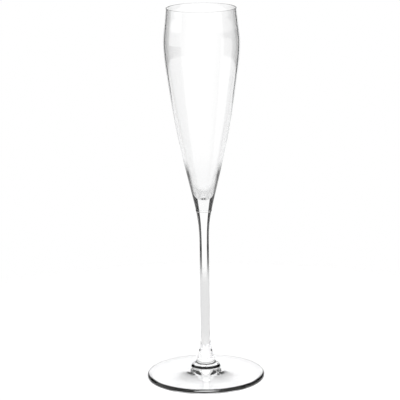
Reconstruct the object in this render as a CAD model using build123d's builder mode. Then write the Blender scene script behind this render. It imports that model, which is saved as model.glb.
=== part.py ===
from build123d import *
import os

# A mouth-blown champagne flute, in millimetres, standing on z = 0 with its axis on Z.
# It is made hot from three gathers of glass: the blown bowl, the drawn stem and the foot.
# Each gather is its own solid, and two fused seams join them face to face.

# ---- heights of the three pieces ----
boss_height = 13.3          # table to the seam between foot and stem
stem_length = 99.2          # seam to seam
bowl_height = 132.5         # seam between stem and bowl up to the rim
stem_seam = boss_height
bowl_seam = boss_height + stem_length

# ---- bowl ----
widest_radius = 24.6
widest_below_rim = 22.0
rim_draw_in = 2.0           # how far the lip comes in from the widest place
lip_bend_share = 0.62       # the lip has come in this share of the way
lip_bend_below_rim = 8.6    # at this depth
rim_wall = 0.9
lip_crown = 0.2             # the fire-polished lip rounds up by this much
widest_wall = 0.95
cavity_floor = 8.0          # solid glass under the drink
cavity_tip_radius = 3.8
cavity_tip_angle = 55       # how steeply the wall leaves the rounded tip
# up the taper: share of the way up, share of the way out, wall thickness
taper = [(0.21, 0.279, 1.8), (0.42, 0.541, 1.35), (0.725, 0.83, 1.05)]

# ---- seam between bowl and stem ----
bowl_seam_radius = 5.05
seam_bead = 0.25            # the fused seam stands proud by this much
seam_bead_height = 1.4
seam_slope = 0.22           # outward run for each millimetre up

# ---- stem ----
stem_radius = 3.02
upper_flare = 26.0          # length of the swelling under the bowl
lower_flare = 34.0          # length of the swelling above the foot
lower_flare_knee = 6.5      # height of its fuller part above the seam
lower_knee_swell = 1.0      # how far that part has swelled
foot_seam_radius = 5.6
foot_seam_slope = 0.34

# ---- foot ----
foot_radius = 38.5
foot_edge = 3.3             # thickness of the rounded edge
foot_edge_round = 1.3
boss_base_radius = 9.7      # where the boss rises from the foot's upper face
boss_base_height = 7.2
# boss outline: share of the way in from its base to the seam, share of the way up
boss_rounding = [(0.195, 0.279), (0.756, 0.557)]
land_width = 1.6            # flat ring that stands on the table
recess_rise = 2.4           # hollow under the middle of the foot


def bowl_outer_points():
    """Outline of the outside of the taper, seam bead to widest place."""
    foot_r = bowl_seam_radius + seam_bead
    foot_z = bowl_seam + seam_bead_height
    rise = bowl_seam + bowl_height - widest_below_rim - foot_z
    run = widest_radius - foot_r
    points = [(foot_r, foot_z)]
    points += [(foot_r + out * run, foot_z + up * rise) for up, out, wall in taper]
    return points + [(widest_radius, foot_z + rise)]


rim_height = bowl_seam + bowl_height
widest_height = rim_height - widest_below_rim
bend_radius = widest_radius - lip_bend_share * rim_draw_in
bend_height = rim_height - lip_bend_below_rim
rim_radius = widest_radius - rim_draw_in
outer_points = bowl_outer_points()
inner_points = [(r - wall, z) for (r, z), (up, out, wall) in zip(outer_points[1:-1], taper)]
inner_widest = (widest_radius - widest_wall, widest_height)
tip_centre = (0, bowl_seam + cavity_floor + cavity_tip_radius)

# ---- bowl: blown thin at the lip and left thick at the base ----
with BuildPart() as bowl:
    with BuildSketch(Plane.XZ):
        with BuildLine():
            seam = Line((0, bowl_seam), (bowl_seam_radius, bowl_seam))
            bead = Bezier(seam @ 1, (outer_points[0][0], bowl_seam), outer_points[0])
            outside = Spline(*outer_points, tangents=((seam_slope, 1), (0, 1)))
            lip = Spline(outside @ 1, (bend_radius, bend_height), (rim_radius, rim_height),
                         tangents=((0, 1), (-0.05, 1)))
            rim = ThreePointArc(lip @ 1, (rim_radius - rim_wall / 2, rim_height + lip_crown),
                                (rim_radius - rim_wall, rim_height))
            lip_inside = Spline(rim @ 1, (bend_radius - rim_wall, bend_height), inner_widest,
                                tangents=((0.05, -1), (0, -1)))
            tip = CenterArc(tip_centre, cavity_tip_radius, -90, cavity_tip_angle)
            inside = Spline(tip @ 1, *inner_points, inner_widest,
                            tangents=(tip % 1, (0, 1)))
            axis_line = Line(tip @ 0, seam @ 0)
        make_face()
    revolve(axis=Axis.Z)
bowl.part.label = "bowl"

# ---- stem: drawn out thin, swelling into the seam at each end ----
with BuildPart() as stem:
    with BuildSketch(Plane.XZ):
        with BuildLine():
            base = Line((0, stem_seam), (foot_seam_radius, stem_seam))
            swell = Spline(base @ 1,
                           (stem_radius + lower_knee_swell, stem_seam + lower_flare_knee),
                           (stem_radius, stem_seam + lower_flare),
                           tangents=((-foot_seam_slope, 1), (0, 1)))
            shank = Line(swell @ 1, (stem_radius, bowl_seam - upper_flare))
            flare = Spline(shank @ 1, (bowl_seam_radius, bowl_seam),
                           tangents=((0, 1), (seam_slope, 1)))
            Polyline(flare @ 1, (0, bowl_seam), base @ 0)
        make_face()
    revolve(axis=Axis.Z)
stem.part.label = "stem"

# ---- foot: a thin disc rising to a boss, hollowed underneath inside a flat land ----
land_outer = foot_radius - foot_edge_round
land_inner = land_outer - land_width
edge_centre_height = foot_edge - foot_edge_round
boss_run = boss_base_radius - foot_seam_radius
boss_climb = boss_height - boss_base_height
boss_points = [(boss_base_radius - across * boss_run, boss_base_height + up * boss_climb)
               for across, up in boss_rounding]
with BuildPart() as foot:
    with BuildSketch(Plane.XZ):
        with BuildLine():
            land = Line((land_inner, 0), (land_outer, 0))
            corner = TangentArc(land @ 1, (foot_radius, foot_edge_round), tangent=(1, 0))
            side = Line(corner @ 1, (foot_radius, edge_centre_height))
            shoulder = TangentArc(side @ 1, (land_outer, foot_edge), tangent=(0, 1))
            plate = Line(shoulder @ 1, (boss_base_radius, boss_base_height))
            boss = Spline(plate @ 1, *boss_points, (foot_seam_radius, boss_height),
                          tangents=((0.05, 1), (-foot_seam_slope, 1)))
            top = Line(boss @ 1, (0, boss_height))
            middle = Line(top @ 1, (0, recess_rise))
            recess = TangentArc(middle @ 1, (land_inner, 0), tangent=(1, 0))
        make_face()
    revolve(axis=Axis.Z)
foot.part.label = "foot"

os.makedirs("parts", exist_ok=True)
export_step(bowl.part, "parts/bowl.step")
export_step(stem.part, "parts/stem.step")
export_step(foot.part, "parts/foot.step")
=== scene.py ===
# %% [markdown]
# # A champagne flute in clear crystal
# A flute is three gathers of one glass, fused while they are hot: a bowl blown thin, a stem
# drawn out like toffee and a foot spun flat. Each is rebuilt here as a smooth turned mesh,
# because glass shows every facet: light bends at each one. The room matters as much as the
# glass, since clear glass has no colour and only shows what stands around it.

# %% Load the frame
import math

import bpy
from mathutils import Euler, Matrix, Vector


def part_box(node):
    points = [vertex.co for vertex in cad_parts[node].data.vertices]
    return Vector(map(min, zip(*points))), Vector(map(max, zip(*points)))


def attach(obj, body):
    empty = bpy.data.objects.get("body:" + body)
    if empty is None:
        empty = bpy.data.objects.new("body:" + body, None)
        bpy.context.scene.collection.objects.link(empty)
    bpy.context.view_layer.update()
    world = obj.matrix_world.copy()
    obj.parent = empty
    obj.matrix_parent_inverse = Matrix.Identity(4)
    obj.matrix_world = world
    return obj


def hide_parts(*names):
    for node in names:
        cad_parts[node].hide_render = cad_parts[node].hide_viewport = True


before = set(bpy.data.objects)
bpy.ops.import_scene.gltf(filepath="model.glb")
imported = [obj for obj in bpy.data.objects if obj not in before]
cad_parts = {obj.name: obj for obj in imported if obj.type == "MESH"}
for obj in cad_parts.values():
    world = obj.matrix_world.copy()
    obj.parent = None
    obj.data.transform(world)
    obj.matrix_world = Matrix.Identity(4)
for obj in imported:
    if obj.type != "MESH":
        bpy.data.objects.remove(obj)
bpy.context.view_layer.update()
MM = 0.001
bowl_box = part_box("bowl")
stem_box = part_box("stem")
foot_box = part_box("foot")
print("nodes:", sorted(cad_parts))

# %% [markdown]
# A turned shape is one outline swung round an axis. An outline made only of straight runs
# would glint in bands, so every curved stretch is a smooth run: it passes through a few
# chosen points and leaves its two ends in chosen directions. The halfway directions are
# the average of the runs on each side, which is how a thin wooden batten would bend.

# %% A smooth run through a few points
RUN_STEPS = 28


def smooth_run(points, start, end, steps=RUN_STEPS):
    """Points along a smooth curve; start and end are the directions at its ends."""
    points = [Vector(point) for point in points]
    spans = [(b - a).length for a, b in zip(points, points[1:])]
    slopes = [Vector(start).normalized()]
    for i in range(1, len(points) - 1):
        before = (points[i] - points[i - 1]) / spans[i - 1]
        after = (points[i + 1] - points[i]) / spans[i]
        slopes.append((before * spans[i] + after * spans[i - 1]) / (spans[i - 1] + spans[i]))
    slopes.append(Vector(end).normalized())
    run = []
    for i, span in enumerate(spans):
        for step in range(steps):
            t = step / steps
            keep = 1 - t
            run.append(points[i] * keep * keep * (1 + 2 * t)
                       + slopes[i] * span * t * keep * keep
                       + points[i + 1] * t * t * (3 - 2 * t)
                       - slopes[i + 1] * span * t * t * keep)
    return run + [points[-1]]


def round_corner(centre, radius, start, end, steps=10):
    """Points on an arc about a centre, from one angle to another, in degrees."""
    angles = [math.radians(start + (end - start) * i / steps) for i in range(steps + 1)]
    return [Vector((centre[0] + radius * math.cos(a), centre[1] + radius * math.sin(a)))
            for a in angles]


print("smooth run of", len(smooth_run([(0, 0), (1, 1)], (1, 0), (0, 1))), "points")

# %% [markdown]
# The wheel turns an outline into a mesh: many copies of it, joined by quads, with one
# vertex on the axis at each end. A subdivision surface could round a coarse cage, but it
# would pull the radii in a little, and this part has to keep its size. So the wheel takes
# enough steps that each facet is finer than the picture can show.

# %% The turning wheel
TURN_STEPS = 192
GLASS, SEAM, INSIDE = 0, 1, 2      # places in a piece's list of materials


def turn(name, outline, seam_bands, creases=(), inside_bands=()):
    """A closed turned mesh with sharp creases and own materials for seams and the inside."""
    vertices, rows, tags = [], [], []
    for radius, height in outline:
        if radius < 1e-7:
            rows.append([len(vertices)])
            vertices.append((0.0, 0.0, height))
            continue
        rows.append(list(range(len(vertices), len(vertices) + TURN_STEPS)))
        for i in range(TURN_STEPS):
            a = 2 * math.pi * i / TURN_STEPS
            vertices.append((radius * math.cos(a), radius * math.sin(a), height))
    faces = []
    for k, (low, high) in enumerate(zip(rows, rows[1:])):
        for i in range(TURN_STEPS):
            j = (i + 1) % TURN_STEPS
            quad = [low[i % len(low)], low[j % len(low)], high[j % len(high)], high[i % len(high)]]
            faces.append(tuple(dict.fromkeys(quad)))
            tags.append(SEAM if k in seam_bands else INSIDE if k in inside_bands else GLASS)
    mesh = bpy.data.meshes.new(name)
    mesh.from_pydata(vertices, [], faces)
    mesh.polygons.foreach_set("use_smooth", [tag != SEAM for tag in tags])
    mesh.polygons.foreach_set("material_index", tags)
    mesh.update()
    ring_of = {vertex: k for k, row in enumerate(rows) for vertex in row}
    for edge in mesh.edges:
        a, b = (ring_of[vertex] for vertex in edge.vertices)
        edge.use_edge_sharp = a == b and a in creases
    piece = bpy.data.objects.new(name, mesh)
    bpy.context.scene.collection.objects.link(piece)
    print(name, len(faces), "faces")
    return piece


# %% [markdown]
# The bowl is blown, so its wall is thin at the lip and thick at its base, where the glass
# that wasn't blown out stays as a plug under the drink. The outline climbs the outside,
# rounds the fire-polished lip and comes back down inside to a small rounded tip. The
# outside and the inside share their heights, and the wall is the gap between them.

# %% The bowl's outline
RIM_RADIUS = 22.6 * MM
RIM_WALL = 0.9 * MM
LIP_BEND = (23.36 * MM, 8.6 * MM)
WIDEST = (24.6 * MM, 22.0 * MM)
WIDEST_WALL = 0.95 * MM
TAPER = [(0.21, 0.279, 1.8 * MM), (0.42, 0.541, 1.35 * MM), (0.725, 0.83, 1.05 * MM)]
SEAM_RADIUS = 5.05 * MM
SEAM_BEAD = (0.25 * MM, 1.4 * MM)
CAVITY_FLOOR = 8.0 * MM
TIP_RADIUS = 3.8 * MM
TIP_ANGLE = 55
LIP_ROUND = 0.45 * MM
LIP_CROWN = 0.2 * MM
LIP_STEPS = 10
LIP_LEAN = 0.05             # how far the lip leans in for each unit up
SEAM_SLOPE = 0.22           # how far the glass spreads for each unit up, at the bowl's seam
BEAD_START = (1, 0.9)
BEAD_STEPS = 8

bowl_seam = bowl_box[0][2]
rim = bowl_box[1][2] - LIP_CROWN
bead_top = (SEAM_RADIUS + SEAM_BEAD[0], bowl_seam + SEAM_BEAD[1])
widest = (WIDEST[0], rim - WIDEST[1])
lip_bend = (LIP_BEND[0], rim - LIP_BEND[1])
outer = [(bead_top[0] + out * (widest[0] - bead_top[0]),
          bead_top[1] + up * (widest[1] - bead_top[1])) for up, out, wall in TAPER]
inner = [(radius - wall, height) for (radius, height), (up, out, wall) in zip(outer, TAPER)]
inner_widest = (widest[0] - WIDEST_WALL, widest[1])
inner_bend = (lip_bend[0] - RIM_WALL, lip_bend[1])
inner_rim = (RIM_RADIUS - RIM_WALL, rim)
tip_centre = (0.0, bowl_seam + CAVITY_FLOOR + TIP_RADIUS)

seam_start = [Vector((0, bowl_seam)), Vector((SEAM_RADIUS, bowl_seam))]
bead = smooth_run([seam_start[1], bead_top], BEAD_START, (SEAM_SLOPE, 1), BEAD_STEPS)
outside = smooth_run([bead_top, *outer, widest], (SEAM_SLOPE, 1), (0, 1))
lip = smooth_run([widest, lip_bend, (RIM_RADIUS, rim)], (0, 1), (-LIP_LEAN, 1))
lip_round = [Vector((RIM_RADIUS - RIM_WALL / 2 + LIP_ROUND * math.cos(a),
                     rim + LIP_CROWN * math.sin(a)))
             for a in [math.radians(180 / LIP_STEPS * i) for i in range(LIP_STEPS + 1)]]
lip_inside = smooth_run([inner_rim, inner_bend, inner_widest], (LIP_LEAN, -1), (0, -1))
tip = round_corner(tip_centre, TIP_RADIUS, TIP_ANGLE - 90, -90)
inside = smooth_run([inner_widest, *inner[::-1], tip[0]], (0, -1),
                    (-math.cos(math.radians(TIP_ANGLE)), -math.sin(math.radians(TIP_ANGLE))))
bowl_outline = (seam_start + bead[1:] + outside[1:] + lip[1:-1] + lip_round + lip_inside[1:]
                + inside[1:] + tip[1:-1] + [Vector((0, bowl_seam + CAVITY_FLOOR))])
inside_start = len(seam_start + bead[1:] + outside[1:] + lip[1:-1] + lip_round) - 1
bowl = turn("crystal_bowl", bowl_outline, {0}, (), range(inside_start, len(bowl_outline)))

# %% [markdown]
# The stem was pulled from a soft gather. It keeps one thickness along its middle and
# swells where it was stuck to its neighbours. Two smooth runs with a straight shank
# between them follow that.

# %% The stem's outline
STEM_RADIUS = 3.02 * MM
UPPER_FLARE = 26.0 * MM
LOWER_FLARE = 34.0 * MM
KNEE = (1.0 * MM, 6.5 * MM)
FOOT_SEAM_RADIUS = 5.6 * MM
FOOT_SEAM_SLOPE = 0.34      # how far the glass draws in for each unit up, at the foot's seam
FLARE_STEPS = 60

foot_seam, stem_top = stem_box[0][2], stem_box[1][2]
swell = smooth_run([(FOOT_SEAM_RADIUS, foot_seam), (STEM_RADIUS + KNEE[0], foot_seam + KNEE[1]),
                    (STEM_RADIUS, foot_seam + LOWER_FLARE)], (-FOOT_SEAM_SLOPE, 1), (0, 1))
flare = smooth_run([(STEM_RADIUS, stem_top - UPPER_FLARE), (SEAM_RADIUS, stem_top)],
                   (0, 1), (SEAM_SLOPE, 1), FLARE_STEPS)
stem_outline = [Vector((0, foot_seam))] + swell + flare + [Vector((0, stem_top))]
stem = turn("crystal_stem", stem_outline, {0, len(stem_outline) - 2})

# %% [markdown]
# The foot is a gather spread with wooden paddles while it spins. Its edge is rounded by
# the flame, its upper face climbs to a boss, and it is hollowed below so that it stands
# on a narrow ring. The corners where the boss and the hollow begin are kept sharp, since
# smoothing across them would bend light where the real surface is straight.

# %% The foot's outline
EDGE = 3.3 * MM
EDGE_ROUND = 1.3 * MM
BOSS_BASE = (9.7 * MM, 7.2 * MM)
BOSS_SHOULDER = (8.9 * MM, 8.9 * MM)
BOSS_NECK = (6.6 * MM, 10.6 * MM)
BOSS_LEAN = 0.05            # how far the boss spreads for each unit up, where it begins
PLATE_STEPS = 24
RECESS_STEPS = 40
LAND_WIDTH = 1.6 * MM
RECESS_RISE = 2.4 * MM

foot_radius = foot_box[1][0]
boss_top = foot_box[1][2]
land_outer = foot_radius - EDGE_ROUND
land_inner = land_outer - LAND_WIDTH
recess_radius = (land_inner ** 2 + RECESS_RISE ** 2) / (2 * RECESS_RISE)
recess_angle = math.degrees(math.asin(land_inner / recess_radius))
recess = round_corner((0, RECESS_RISE - recess_radius), recess_radius, 90,
                      90 - recess_angle, RECESS_STEPS)
plate = [Vector((land_outer, EDGE)).lerp(Vector(BOSS_BASE), i / PLATE_STEPS)
         for i in range(1, PLATE_STEPS)]
boss = smooth_run([BOSS_BASE, BOSS_SHOULDER, BOSS_NECK, (FOOT_SEAM_RADIUS, boss_top)],
                  (BOSS_LEAN, 1), (-FOOT_SEAM_SLOPE, 1))
foot_outline = (recess + [Vector((land_outer, 0))]
                + round_corner((land_outer, EDGE_ROUND), EDGE_ROUND, -90, 0)[1:]
                + round_corner((land_outer, EDGE - EDGE_ROUND), EDGE_ROUND, 0, 90)
                + plate + boss + [Vector((0, boss_top))])
foot_outline[0].x = 0       # the arc's first point is on the axis but for rounding
foot = turn("crystal_foot", foot_outline, {len(foot_outline) - 2},
            {len(recess) - 1, len(foot_outline) - 1 - len(boss)})

# %% [markdown]
# Handmade crystal isn't perfect. Its surface has long shallow waves from the blowing and
# the marvering, a haze too faint to see except where a highlight crosses it, and a few
# dry spots. One node group makes all three, so that the pieces share one melt and each
# sets its own amounts.

# %% The hand-worked surface group
def hand_worked_group():
    """Faint waves and haze that change over the surface, as named outputs."""
    group = bpy.data.node_groups.new("hand_worked_glass", "ShaderNodeTree")
    face = group.interface
    for label, value in (("Wave Scale", 60.0), ("Haze", 0.004), ("Smudge Scale", 35.0)):
        socket = face.new_socket(name=label, in_out="INPUT", socket_type="NodeSocketFloat")
        socket.default_value = value
    for label in ("Height", "Roughness"):
        face.new_socket(name=label, in_out="OUTPUT", socket_type="NodeSocketFloat")
    nodes, links = group.nodes, group.links
    inputs, outputs = nodes.new("NodeGroupInput"), nodes.new("NodeGroupOutput")
    place = nodes.new("ShaderNodeTexCoord")
    stretch = nodes.new("ShaderNodeMapping")
    stretch.inputs["Scale"].default_value = (1.0, 1.0, 0.3)
    waves = nodes.new("ShaderNodeTexNoise")
    waves.inputs["Detail"].default_value = 1.0
    smudges = nodes.new("ShaderNodeTexNoise")
    smudges.inputs["Detail"].default_value = 4.0
    spots = nodes.new("ShaderNodeMapRange")
    spots.inputs["From Min"].default_value = 0.5
    spots.inputs["From Max"].default_value = 0.75
    links.new(place.outputs["Object"], stretch.inputs["Vector"])
    links.new(stretch.outputs["Vector"], waves.inputs["Vector"])
    links.new(inputs.outputs["Wave Scale"], waves.inputs["Scale"])
    links.new(place.outputs["Object"], smudges.inputs["Vector"])
    links.new(inputs.outputs["Smudge Scale"], smudges.inputs["Scale"])
    links.new(smudges.outputs["Fac"], spots.inputs["Value"])
    links.new(inputs.outputs["Haze"], spots.inputs["To Max"])
    links.new(waves.outputs["Fac"], outputs.inputs["Height"])
    links.new(spots.outputs["Result"], outputs.inputs["Roughness"])
    return group


hand_worked = hand_worked_group()
print("group outputs:", [s.name for s in hand_worked.interface.items_tree if s.in_out == "OUTPUT"])

# %% [markdown]
# The glass itself is a Principled BSDF that lets all light through and bends it as lead-free
# crystal does. Glass looks a little greyer where it is seen edge-on, because the light has
# a longer way through it, so Layer Weight tints it there. The outside of the bowl's thick
# base is tinted nearly black there, which is a painted help: the bends of light alone draw
# those edges too pale. For the same reason the surface reflects less than real glass does.
# Light from the lamps would stop at a refracting surface and leave a black shadow, so shadow
# rays meet a clear surface that takes only a little of them.

# %% The crystal finish
CRYSTAL_IOR = 1.52
SHEEN = 0.25
# Painted shade: the colours below grey the glass where it is seen edge-on.
FACE_TINT = (1.0, 1.0, 1.0, 1.0)
MIDDLE_PAINTED_SHADE = (0.95, 0.952, 0.955, 1.0)
EDGE_PAINTED_SHADE = (0.48, 0.49, 0.50, 1.0)
# Painted shade: nearly black, on the edges of the bowl's thick base.
BASE_DARK_SHADE = (0.02, 0.02, 0.02, 1.0)
FOOT_EDGE_PAINTED_SHADE = (0.78, 0.785, 0.79, 1.0)
PAINTED_EDGE_SHADING = (FACE_TINT, MIDDLE_PAINTED_SHADE, EDGE_PAINTED_SHADE)
UNTINTED = (FACE_TINT, FACE_TINT, FACE_TINT)
FOOT_PAINTED_EDGE_SHADING = (FACE_TINT, FACE_TINT, FOOT_EDGE_PAINTED_SHADE)
DARK_SHADE_BAND = (0.37, 0.54)          # Layer Weight where the black painted shade starts and ends
BASE_SHADE_HEIGHTS = (0.138, 0.150)        # heights in metres where the walls thicken and the painted black fades out
LOWEST_MILLIMETRE = (0.0, 0.001)   # the stem misses this painted shade; the foot's lowest millimetre gets it
SHADOW_TINT = (0.93, 0.93, 0.94, 1.0)


def crystal(name, wave_scale, wave_depth, haze, shade_colours, dark_heights=LOWEST_MILLIMETRE):
    """Clear glass with waves and haze, and painted shade for the face, the middle and the edge.

    Below the first height the edge gets a nearly black painted shade, and above the second it
    doesn't.
    """
    material = bpy.data.materials.new(name)
    material.use_nodes = True
    nodes, links = material.node_tree.nodes, material.node_tree.links
    shader = nodes["Principled BSDF"]
    shader.inputs["Transmission Weight"].default_value = 1.0
    shader.inputs["IOR"].default_value = CRYSTAL_IOR
    shader.inputs["Specular IOR Level"].default_value = SHEEN
    surface = nodes.new("ShaderNodeGroup")
    surface.node_tree = hand_worked
    surface.inputs["Wave Scale"].default_value = wave_scale
    surface.inputs["Haze"].default_value = haze
    bump = nodes.new("ShaderNodeBump")
    bump.inputs["Distance"].default_value = wave_depth
    bump.inputs["Strength"].default_value = 1.0
    # Painted shade: Layer Weight greys the colour where the glass is seen edge-on.
    facing = nodes.new("ShaderNodeLayerWeight")
    facing.inputs["Blend"].default_value = 0.5
    edge_shade = nodes.new("ShaderNodeValToRGB")
    edge_shade.color_ramp.elements[0].color = shade_colours[0]
    edge_shade.color_ramp.elements[1].color = shade_colours[2]
    edge_shade.color_ramp.elements.new(0.5).color = shade_colours[1]
    # Painted shade: nearly black at the edge, below the given heights.
    dark_edge_shade = nodes.new("ShaderNodeValToRGB")
    dark_edge_shade.color_ramp.elements[0].position = DARK_SHADE_BAND[0]
    dark_edge_shade.color_ramp.elements[0].color = MIDDLE_PAINTED_SHADE
    dark_edge_shade.color_ramp.elements[1].position = DARK_SHADE_BAND[1]
    dark_edge_shade.color_ramp.elements[1].color = BASE_DARK_SHADE
    place = nodes.new("ShaderNodeTexCoord")
    split = nodes.new("ShaderNodeSeparateXYZ")
    depth = nodes.new("ShaderNodeMapRange")
    depth.interpolation_type = "SMOOTHSTEP"
    depth.inputs["From Min"].default_value = dark_heights[0]
    depth.inputs["From Max"].default_value = dark_heights[1]
    depth.inputs["To Min"].default_value = 1.0
    depth.inputs["To Max"].default_value = 0.0
    shade = nodes.new("ShaderNodeMix")
    shade.data_type = "RGBA"
    clear = nodes.new("ShaderNodeBsdfTransparent")
    clear.inputs["Color"].default_value = SHADOW_TINT
    rays = nodes.new("ShaderNodeLightPath")
    mix = nodes.new("ShaderNodeMixShader")
    links.new(surface.outputs["Height"], bump.inputs["Height"])
    links.new(bump.outputs["Normal"], shader.inputs["Normal"])
    links.new(surface.outputs["Roughness"], shader.inputs["Roughness"])
    links.new(facing.outputs["Facing"], edge_shade.inputs["Fac"])
    links.new(facing.outputs["Facing"], dark_edge_shade.inputs["Fac"])
    links.new(place.outputs["Object"], split.inputs["Vector"])
    links.new(split.outputs["Z"], depth.inputs["Value"])
    links.new(depth.outputs["Result"], shade.inputs["Factor"])
    links.new(edge_shade.outputs["Color"], shade.inputs["A"])
    links.new(dark_edge_shade.outputs["Color"], shade.inputs["B"])
    links.new(shade.outputs["Result"], shader.inputs["Base Color"])
    links.new(rays.outputs["Is Shadow Ray"], mix.inputs["Fac"])
    links.new(shader.outputs["BSDF"], mix.inputs[1])
    links.new(clear.outputs["BSDF"], mix.inputs[2])
    links.new(mix.outputs["Shader"], nodes["Material Output"].inputs["Surface"])
    return material


# %% [markdown]
# Where two gathers are fused there is no surface left: light goes straight on. The pieces
# stay separate meshes, so their meeting faces get a finish that does nothing at all.

# %% The fused seam
def fused_seam():
    """No surface: light passes through the seam between two fused pieces."""
    material = bpy.data.materials.new("fused_seam")
    material.use_nodes = True
    nodes, links = material.node_tree.nodes, material.node_tree.links
    nodes.remove(nodes["Principled BSDF"])
    through = nodes.new("ShaderNodeBsdfTransparent")
    links.new(through.outputs["BSDF"], nodes["Material Output"].inputs["Surface"])
    return material


seam_finish = fused_seam()
FINISHES = [
    (bowl, "bowl", crystal("blown_crystal", 45.0, 0.00002, 0.004, PAINTED_EDGE_SHADING, BASE_SHADE_HEIGHTS)),
    (stem, "stem", crystal("drawn_crystal", 70.0, 0.00001, 0.003, PAINTED_EDGE_SHADING)),
    (foot, "foot", crystal("spun_crystal", 50.0, 0.00006, 0.006, FOOT_PAINTED_EDGE_SHADING)),
]
for piece, node, finish in FINISHES:
    piece.data.materials.append(finish)
    piece.data.materials.append(seam_finish)
    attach(piece, "root")
    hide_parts(node)
inside_finish = crystal("blown_crystal_inside", 45.0, 0.00002, 0.004, UNTINTED)
bowl.data.materials.append(inside_finish)
print("finished:", [piece.name for piece, node, finish in FINISHES])

# %% [markdown]
# Glass is lit with a bright field: white boards stand behind it and the sides of the room
# stay dark. Straight light is white, and light that the glass bends far sideways comes from
# the dark and draws the outline in black. The world is that room. It has a white table
# below, boards at the backs of the directions that the glass is looked at from, and soft
# light for everything that isn't glass. The camera itself sees plain white.

# %% The room
TABLE_EDGE = 15.2           # degrees below the horizon where the white table ends
TABLE_EDGE_SOFT = 0.8
CEILING_SOFT = 6
BOARD_END_SOFT = 1
# bearing from +Y, half width, softness and lowest elevation of each board, in degrees
BOARDS = [(0, 25, 2, -90), (180, 50, 35, -90), (135, 25, 2, -90), (-90, 25, 2, -8.5)]
BOARD_TOP = 32
CEILING = 30
CEILING_LEVEL = 0.8
NEAR_LEVEL = 0.90           # brightness of the white below FAR_BAND, in glass
FAR_LEVEL = 1.03            # and above it
FAR_BAND = (30, 18)         # degrees below the horizon
SOFT_LIGHT = 0.5


def node_math(tree, operation, a, b):
    """One Math node; a and b are sockets or numbers."""
    node = tree.nodes.new("ShaderNodeMath")
    node.operation = operation
    for socket, value in zip(node.inputs, (a, b)):
        if isinstance(value, bpy.types.NodeSocket):
            tree.links.new(value, socket)
        else:
            socket.default_value = value
    return node.outputs[0]


def soft_step(tree, value, low, high):
    """0 below low, 1 above high, smooth between."""
    node = tree.nodes.new("ShaderNodeMapRange")
    node.interpolation_type = "SMOOTHSTEP"
    tree.links.new(value, node.inputs["Value"])
    node.inputs["From Min"].default_value = low
    node.inputs["From Max"].default_value = high
    return node.outputs["Result"]


def build_room():
    """The world: white table and boards for glass, soft light for the rest."""
    world = bpy.data.worlds.new("bright_field_room")
    bpy.context.scene.world = world
    world.use_nodes = True
    tree = world.node_tree
    place = tree.nodes.new("ShaderNodeTexCoord")
    split = tree.nodes.new("ShaderNodeSeparateXYZ")
    tree.links.new(place.outputs["Generated"], split.inputs["Vector"])
    bearing = node_math(tree, "ARCTAN2", split.outputs["X"], split.outputs["Y"])
    height = split.outputs["Z"]
    table = soft_step(tree, node_math(tree, "MULTIPLY", height, -1.0),
                      math.sin(math.radians(TABLE_EDGE - TABLE_EDGE_SOFT)),
                      math.sin(math.radians(TABLE_EDGE + TABLE_EDGE_SOFT)))
    ceiling = soft_step(tree, height, math.sin(math.radians(CEILING - CEILING_SOFT)),
                        math.sin(math.radians(CEILING + CEILING_SOFT)))
    white = node_math(tree, "MAXIMUM", table, node_math(tree, "MULTIPLY", ceiling, CEILING_LEVEL))
    for middle, half_width, softness, bottom in BOARDS:
        offset = node_math(tree, "SUBTRACT", bearing, math.radians(middle))
        turned = node_math(tree, "COSINE", offset, 0.0)
        board = soft_step(tree, turned, math.cos(math.radians(half_width + softness)),
                          math.cos(math.radians(half_width - softness)))
        above = soft_step(tree, height, math.sin(math.radians(bottom - BOARD_END_SOFT)),
                          math.sin(math.radians(bottom + BOARD_END_SOFT)))
        below = soft_step(tree, node_math(tree, "MULTIPLY", height, -1.0),
                          -math.sin(math.radians(BOARD_TOP + CEILING_SOFT)),
                          -math.sin(math.radians(BOARD_TOP - CEILING_SOFT)))
        board = node_math(tree, "MULTIPLY", board, below)
        if bottom > -90:
            board = node_math(tree, "MULTIPLY", board, above)
        white = node_math(tree, "MAXIMUM", white, board)
    fade = soft_step(tree, height, -math.sin(math.radians(FAR_BAND[0])),
                     -math.sin(math.radians(FAR_BAND[1])))
    shade = node_math(tree, "MULTIPLY", fade, FAR_LEVEL - NEAR_LEVEL)
    level = node_math(tree, "MULTIPLY", white, node_math(tree, "ADD", shade, NEAR_LEVEL))
    rays = tree.nodes.new("ShaderNodeLightPath")
    glassy = node_math(tree, "MAXIMUM", rays.outputs["Is Glossy Ray"],
                       rays.outputs["Is Transmission Ray"])
    seen = node_math(tree, "MULTIPLY", glassy, node_math(tree, "SUBTRACT", level, SOFT_LIGHT))
    strength = node_math(tree, "ADD", seen, SOFT_LIGHT)
    strength = node_math(tree, "MAXIMUM", strength, rays.outputs["Is Camera Ray"])
    tree.links.new(strength, tree.nodes["Background"].inputs["Strength"])
    tree.nodes["Background"].inputs["Color"].default_value = (1, 1, 1, 1)
    return world


room = build_room()
print("room nodes:", len(room.node_tree.nodes))

# %% [markdown]
# The table is a plain pale disc. It fades out round the glass, where the white of the room
# takes over, and a single broad lamp high above leaves a faint shadow on it. The camera sees
# it a little brighter than the glass does, and a small pool of painted light glows round the
# foot.

# %% Table and lamp
TABLE_RADIUS = 0.30
TABLE_DROP = 0.0001         # just clear of the foot
TABLE_SIDES = 128
TABLE_COLOUR = (0.85, 0.85, 0.85, 1)
FADE_START = 0.22
TABLE_LIFT = 0.28
# Painted light: a pool of glow on the table round the foot, seen through the glass.
PAINTED_LIGHT_POOL_INNER = 0.05
PAINTED_LIGHT_POOL_OUTER = 0.09
PAINTED_LIGHT_POOL_LIFT = 0.04
LAMP_HEIGHT = 1.4
LAMP_BEHIND = 0.15
LAMP_SIZE = 1.2
LAMP_POWER = 9.8


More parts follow.
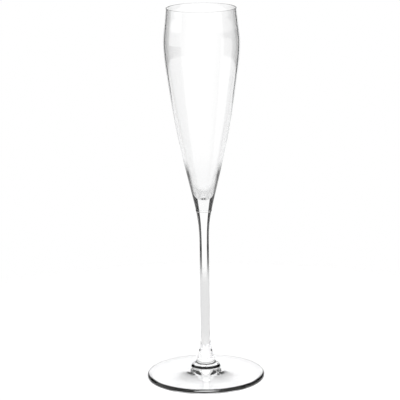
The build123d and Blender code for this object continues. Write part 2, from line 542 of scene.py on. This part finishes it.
def build_table():
    """A pale round table top."""
    mesh = bpy.data.meshes.new("table")
    rim_points = [(TABLE_RADIUS * math.cos(a), TABLE_RADIUS * math.sin(a), 0.0)
                  for a in [2 * math.pi * i / TABLE_SIDES for i in range(TABLE_SIDES)]]
    mesh.from_pydata(rim_points, [], [tuple(range(TABLE_SIDES))])
    table = bpy.data.objects.new("table", mesh)
    bpy.context.scene.collection.objects.link(table)
    table.location.z = -TABLE_DROP
    material = bpy.data.materials.new("pale_table")
    material.use_nodes = True
    nodes, links = material.node_tree.nodes, material.node_tree.links
    nodes.remove(nodes["Principled BSDF"])
    matt = nodes.new("ShaderNodeBsdfDiffuse")
    matt.inputs["Color"].default_value = TABLE_COLOUR
    glow = nodes.new("ShaderNodeEmission")
    rays = nodes.new("ShaderNodeLightPath")
    lift = node_math(material.node_tree, "MULTIPLY", rays.outputs["Is Camera Ray"], TABLE_LIFT)
    place = nodes.new("ShaderNodeTexCoord")
    away = nodes.new("ShaderNodeVectorMath")
    away.operation = "LENGTH"
    links.new(place.outputs["Object"], away.inputs[0])
    # Painted light: the table glows a little in a pool round the foot.
    painted_light_pool = nodes.new("ShaderNodeMapRange")
    painted_light_pool.interpolation_type = "SMOOTHSTEP"
    links.new(away.outputs["Value"], painted_light_pool.inputs["Value"])
    painted_light_pool.inputs["From Min"].default_value = PAINTED_LIGHT_POOL_INNER
    painted_light_pool.inputs["From Max"].default_value = PAINTED_LIGHT_POOL_OUTER
    painted_light_pool.inputs["To Min"].default_value = PAINTED_LIGHT_POOL_LIFT
    painted_light_pool.inputs["To Max"].default_value = 0.0
    lift = node_math(material.node_tree, "MAXIMUM", lift, painted_light_pool.outputs["Result"])
    links.new(lift, glow.inputs["Strength"])
    both = nodes.new("ShaderNodeAddShader")
    links.new(matt.outputs["BSDF"], both.inputs[0])
    links.new(glow.outputs["Emission"], both.inputs[1])
    fade = nodes.new("ShaderNodeMapRange")
    fade.interpolation_type = "SMOOTHSTEP"
    links.new(away.outputs["Value"], fade.inputs["Value"])
    fade.inputs["From Min"].default_value = FADE_START
    fade.inputs["From Max"].default_value = TABLE_RADIUS
    beyond = nodes.new("ShaderNodeBsdfTransparent")
    ending = nodes.new("ShaderNodeMixShader")
    links.new(fade.outputs["Result"], ending.inputs["Fac"])
    links.new(both.outputs["Shader"], ending.inputs[1])
    links.new(beyond.outputs["BSDF"], ending.inputs[2])
    links.new(ending.outputs["Shader"], nodes["Material Output"].inputs["Surface"])
    mesh.materials.append(material)
    return table


def build_lamp():
    """One broad soft lamp, high above."""
    lamp = bpy.data.lights.new("soft_lamp", "AREA")
    lamp.shape = "DISK"
    lamp.size = LAMP_SIZE
    lamp.energy = LAMP_POWER
    holder = bpy.data.objects.new("soft_lamp", lamp)
    holder.location = (0.0, LAMP_BEHIND, LAMP_HEIGHT)
    bpy.context.scene.collection.objects.link(holder)
    return holder


build_table()
build_lamp()
print("table radius", TABLE_RADIUS)

# %% [markdown]
# A long lens from well back keeps the sides of the tall bowl true. The camera looks a little
# down, so that the lip and the foot show as ellipses, and it is rolled by under a degree.

# %% Camera
CAMERA_BACK = 1.3132
CAMERA_HEIGHT = 0.4275
CAMERA_LEFT = 0.00236
LOOK_DOWN = 13.19
ROLL = -0.80
LENS = 187.23

camera_data = bpy.data.cameras.new("camera")
camera_data.lens = LENS
camera_data.sensor_width = 36.0
camera = bpy.data.objects.new("camera", camera_data)
camera.location = (-CAMERA_LEFT, -CAMERA_BACK, CAMERA_HEIGHT)
aim = Euler((math.radians(90 - LOOK_DOWN), 0, 0)).to_matrix()
camera.rotation_euler = (aim @ Euler((0, 0, math.radians(ROLL))).to_matrix()).to_euler()
bpy.context.scene.collection.objects.link(camera)
bpy.context.scene.camera = camera
bpy.context.scene.view_settings.view_transform = "Standard"
print("camera at", tuple(round(v, 3) for v in camera.location))
